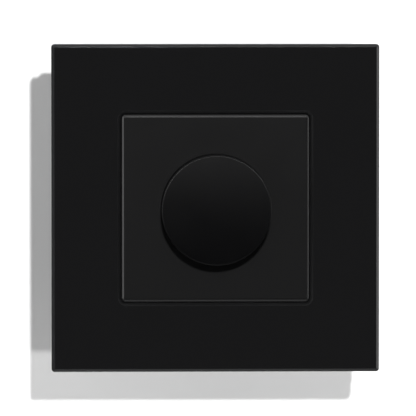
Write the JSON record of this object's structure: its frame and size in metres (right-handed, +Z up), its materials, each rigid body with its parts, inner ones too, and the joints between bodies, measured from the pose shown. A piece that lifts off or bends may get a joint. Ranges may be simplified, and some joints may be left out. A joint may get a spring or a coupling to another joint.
{
  "type": "rotary dimmer switch",
  "caption": "Flush-mounted push and turn light dimmer with a square black glass frame, square centre plate and round knob on a metal support plate with spreading claws.",
  "frame": {"origin": "on the knob's axis, in the plane of the wall surface, midway between the two box screws", "axes": "+Z up the wall, +X to the right as seen by the user, +Y into the wall; the knob faces -Y"},
  "size_m": [0.082, 0.0463, 0.082],
  "materials": {
    "black_glass": "polished clear glass painted black on its back",
    "foam_tape": "black acrylic foam tape",
    "carrier_plastic": "moulded black polycarbonate",
    "centre_plastic": "fine matt moulded black polycarbonate",
    "knob_plastic": "satin black moulded plastic",
    "galvanised_steel": "zinc plated steel sheet",
    "zinc_screw": "zinc plated steel",
    "spring_steel": "blued spring steel",
    "nickel_brass": "nickel plated brass",
    "bare_brass": "bare brass",
    "bronze": "phosphor bronze sheet",
    "housing_plastic": "moulded anthracite polyamide",
    "cover_plastic": "moulded light grey polyamide",
    "terminal_plastic": "moulded grey polyamide",
    "pot_plastic": "moulded black phenolic",
    "white_plastic": "moulded white acetal",
    "board_laminate": "glass fibre laminate with green solder mask",
    "carbon_film": "printed carbon film",
    "brown_laminate": "phenolic paper board",
    "epoxy": "moulded black epoxy",
    "aluminium": "extruded aluminium",
    "ferrite": "coated iron powder core",
    "enamelled_copper": "enamelled copper wire",
    "capacitor_plastic": "yellow plastic box",
    "resistor_lacquer": "beige lacquer"
  },
  "bodies": {
    "base": {"glass_frame": "black_glass", "frame_bonding_tape": "foam_tape", "frame_carrier": "carrier_plastic", "centre_plate": "centre_plastic", "neck_washer": "zinc_screw", "neck_nut": "nickel_brass", "pot_bushing": "nickel_brass", "pot_housing": "pot_plastic", "track_board": "brown_laminate", "resistive_track": "carbon_film", "push_switch_housing": "pot_plastic", "return_spring": "spring_steel", "switch_contacts": "bare_brass", "circuit_board": "board_laminate", "triac": "epoxy", "heat_sink": "aluminium", "fuse": "epoxy", "board_resistors": "resistor_lacquer", "choke_core": "ferrite", "choke_winding": "enamelled_copper", "suppression_capacitor": "capacitor_plastic", "terminal_block": "terminal_plastic", "terminal_clamps": "bare_brass", "terminal_screws": "zinc_screw", "support_plate": "galvanised_steel", "module_cover": "cover_plastic", "housing_screws": "zinc_screw", "rear_housing": "housing_plastic"},
    "push_carriage": {"switch_plunger": "white_plastic", "contact_bridge": "bronze"},
    "knob": {"dimmer_knob": "knob_plastic", "knob_spring_clip": "spring_steel", "spindle": "nickel_brass", "spindle_circlip": "spring_steel"},
    "rotor": {"wiper_rotor": "white_plastic", "wiper_contact": "bronze"},
    "left_screw": {"left_claw_screw": "zinc_screw"},
    "left_nut": {"left_claw_nut": "zinc_screw"},
    "left_claw_body": {"left_claw": "galvanised_steel"},
    "right_screw": {"right_claw_screw": "zinc_screw"},
    "right_nut": {"right_claw_nut": "zinc_screw"},
    "right_claw_body": {"right_claw": "galvanised_steel"}
  },
  "joints": [
    {"name": "knob_push", "type": "slide", "parent": "base", "child": "push_carriage", "axis": [0, 1, 0], "range_m": [0, 0.0016], "stiffness_N_per_m": 1250, "springref_m": -0.0016, "deforming": ["return_spring"]},
    {"name": "knob_turn", "type": "hinge", "parent": "push_carriage", "child": "knob", "pos_m": [0, 0, 0], "axis": [0, 1, 0], "range_deg": [0, 270]},
    {"name": "rotor_turn", "type": "hinge", "parent": "base", "child": "rotor", "pos_m": [0, 0, 0], "axis": [0, 1, 0], "range_deg": [0, 270]},
    {"name": "left_claw_screw_turn", "type": "hinge", "parent": "base", "child": "left_screw", "pos_m": [-0.0215, 0, 0], "axis": [0, 1, 0], "range_deg": [0, 3600]},
    {"name": "left_claw_nut_slide", "type": "slide", "parent": "base", "child": "left_nut", "axis": [0, -1, 0], "range_m": [0, 0.005]},
    {"name": "left_claw_spread", "type": "slide", "parent": "base", "child": "left_claw_body", "axis": [-0.5, -0.866, 0], "range_m": [0, 0.00577]},
    {"name": "right_claw_screw_turn", "type": "hinge", "parent": "base", "child": "right_screw", "pos_m": [0.0215, 0, 0], "axis": [0, 1, 0], "range_deg": [0, 3600]},
    {"name": "right_claw_nut_slide", "type": "slide", "parent": "base", "child": "right_nut", "axis": [0, -1, 0], "range_m": [0, 0.005]},
    {"name": "right_claw_spread", "type": "slide", "parent": "base", "child": "right_claw_body", "axis": [0.5, -0.866, 0], "range_m": [0, 0.00577]}
  ],
  "couplings": [
    {"joint": "rotor_turn", "follows": "knob_turn", "ratio": 1},
    {"joint": "left_claw_screw_turn", "follows": "left_claw_nut_slide", "rad_per_m": 12566},
    {"joint": "left_claw_spread", "follows": "left_claw_nut_slide", "ratio": 1.1547},
    {"joint": "right_claw_screw_turn", "follows": "right_claw_nut_slide", "rad_per_m": 12566},
    {"joint": "right_claw_spread", "follows": "right_claw_nut_slide", "ratio": 1.1547}
  ]
}
